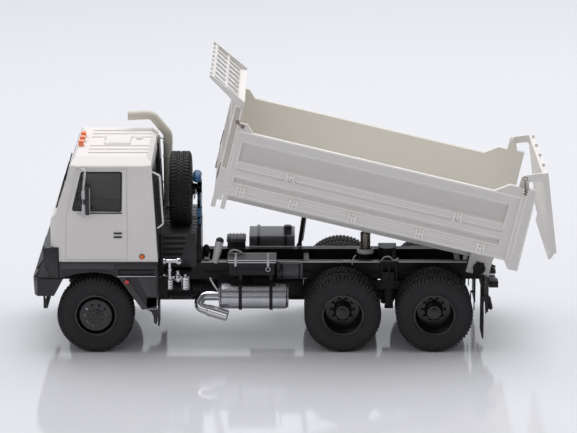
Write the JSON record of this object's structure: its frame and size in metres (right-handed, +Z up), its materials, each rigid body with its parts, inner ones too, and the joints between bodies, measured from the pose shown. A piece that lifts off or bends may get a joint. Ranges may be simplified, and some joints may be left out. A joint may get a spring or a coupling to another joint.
{
  "type": "scale model dump truck",
  "caption": "Scale model of a cab-over dump truck, its box bed raised on a telescopic cylinder and its tailgate ajar, on steered front and twin rear wheels.",
  "frame": {"origin": "middle of the model's box in plan, on the ground under the wheels", "axes": "-X towards the nose, +X to the rear, -Y the truck's left side, +Z up"},
  "size_m": [0.1742, 0.0666, 0.095],
  "materials": {
    "cab_paint": "satin",
    "bed_paint": "satin",
    "chassis_black": "satin",
    "dark_plastic": "matt",
    "interior_grey": "matt",
    "tyre_rubber": "matt",
    "flap_rubber": "matt",
    "rim_paint": "satin",
    "bronze_steel": "brushed",
    "clear_glass": "clear",
    "lamp_clear": "gloss",
    "lamp_orange": "gloss",
    "lamp_red": "gloss",
    "silver_paint": "satin",
    "bright_metal": "bright",
    "tank_grey": "satin",
    "intake_beige": "satin",
    "pipe_grey": "satin"
  },
  "bodies": {
    "chassis": {"axle_front": "chassis_black", "axles_rear": "chassis_black", "backbone_tube": "chassis_black", "bogie_springs": "chassis_black", "bumper": "dark_plastic", "cab_interior": "interior_grey", "cab_shell": "cab_paint", "crossmembers": "chassis_black", "engine_housing": "dark_plastic", "fenders": "dark_plastic", "filler_pipe": "pipe_grey", "frame_boxes": "dark_plastic", "frame_rail_left": "chassis_black", "frame_rail_right": "chassis_black", "grab_rails": "dark_plastic", "headlamps": "lamp_clear", "lamps_orange": "lamp_orange", "lamps_red": "lamp_red", "mirrors": "dark_plastic", "mudflaps": "flap_rubber", "muffler": "silver_paint", "nose_apron": "dark_plastic", "rear_crossmember": "chassis_black", "rim_spare": "rim_paint", "side_brackets": "chassis_black", "snorkel": "intake_beige", "spare_carrier": "chassis_black", "spare_winch": "dark_plastic", "tailpipe": "bright_metal", "tanks": "tank_grey", "tyre_spare": "tyre_rubber", "valve_cluster": "bright_metal", "window_glass": "clear_glass", "window_seals": "dark_plastic", "wipers_and_handles": "dark_plastic"},
    "steer_left": {"knuckle_left": "chassis_black"},
    "steer_right": {"knuckle_right": "chassis_black"},
    "wheel_front_left": {"tyre_front_left": "tyre_rubber", "rim_front_left": "rim_paint"},
    "wheel_middle_left": {"tyre_middle_left": "tyre_rubber", "rim_middle_left": "rim_paint"},
    "wheel_rear_left": {"tyre_rear_left": "tyre_rubber", "rim_rear_left": "rim_paint"},
    "wheel_front_right": {"tyre_front_right": "tyre_rubber", "rim_front_right": "rim_paint"},
    "wheel_middle_right": {"tyre_middle_right": "tyre_rubber", "rim_middle_right": "rim_paint"},
    "wheel_rear_right": {"tyre_rear_right": "tyre_rubber", "rim_rear_right": "rim_paint"},
    "bed": {"bed_floor": "bed_paint", "bed_headboard": "bed_paint", "bed_side_left": "bed_paint", "bed_side_right": "bed_paint", "bed_subframe": "bed_paint", "bed_prop": "silver_paint"},
    "gate": {"tailgate": "bed_paint"},
    "barrel": {"cylinder_barrel": "chassis_black"},
    "stage": {"cylinder_stage": "bronze_steel"},
    "rod": {"cylinder_rod": "bronze_steel"}
  },
  "joints": [
    {"name": "steer_left", "type": "hinge", "parent": "chassis", "child": "steer_left", "pos_m": [-0.06633, -0.023, 0.0129], "axis": [0, 0, 1], "range_deg": [-15, 15]},
    {"name": "spin_front_left", "type": "hinge", "parent": "steer_left", "child": "wheel_front_left", "pos_m": [-0.06633, -0.02525, 0.0129], "axis": [0, 1, 0], "continuous": true},
    {"name": "spin_middle_left", "type": "hinge", "parent": "chassis", "child": "wheel_middle_left", "pos_m": [0.01623, -0.021, 0.0129], "axis": [0, 1, 0], "continuous": true},
    {"name": "spin_rear_left", "type": "hinge", "parent": "chassis", "child": "wheel_rear_left", "pos_m": [0.04693, -0.021, 0.0129], "axis": [0, 1, 0], "continuous": true},
    {"name": "steer_right", "type": "hinge", "parent": "chassis", "child": "steer_right", "pos_m": [-0.06633, 0.023, 0.0129], "axis": [0, 0, 1], "range_deg": [-15, 15]},
    {"name": "spin_front_right", "type": "hinge", "parent": "steer_right", "child": "wheel_front_right", "pos_m": [-0.06633, 0.02525, 0.0129], "axis": [0, 1, 0], "continuous": true},
    {"name": "spin_middle_right", "type": "hinge", "parent": "chassis", "child": "wheel_middle_right", "pos_m": [0.01623, 0.021, 0.0129], "axis": [0, 1, 0], "continuous": true},
    {"name": "spin_rear_right", "type": "hinge", "parent": "chassis", "child": "wheel_rear_right", "pos_m": [0.04693, 0.021, 0.0129], "axis": [0, 1, 0], "continuous": true},
    {"name": "bed_tilt", "type": "hinge", "parent": "chassis", "child": "bed", "pos_m": [0.06253, 0, 0.02494], "axis": [0, 1, 0], "range_deg": [-13.6, 16.4]},
    {"name": "tailgate", "type": "hinge", "parent": "bed", "child": "gate", "pos_m": [0.07629, 0, 0.05995], "axis": [0, -1, 0], "range_deg": [-20.5, 45]},
    {"name": "cylinder_swing", "type": "hinge", "parent": "chassis", "child": "barrel", "pos_m": [0.02437, 0, 0.024], "axis": [0, 1, 0], "range_deg": [-10.95, 13.2]},
    {"name": "stage_slide", "type": "slide", "parent": "barrel", "child": "stage", "axis": [0, 0, 1], "range_m": [-0.0045, 0.00545]},
    {"name": "rod_slide", "type": "slide", "parent": "stage", "child": "rod", "axis": [0, 0, 1], "range_m": [-0.0045, 0.00545]}
  ],
  "couplings": [
    {"joint": "steer_right", "follows": "steer_left", "ratio": 1},
    {"joint": "cylinder_swing", "follows": "bed_tilt", "ratio": 0.8},
    {"joint": "stage_slide", "follows": "bed_tilt", "m_per_rad": 0.01887},
    {"joint": "rod_slide", "follows": "bed_tilt", "m_per_rad": 0.01887}
  ]
}
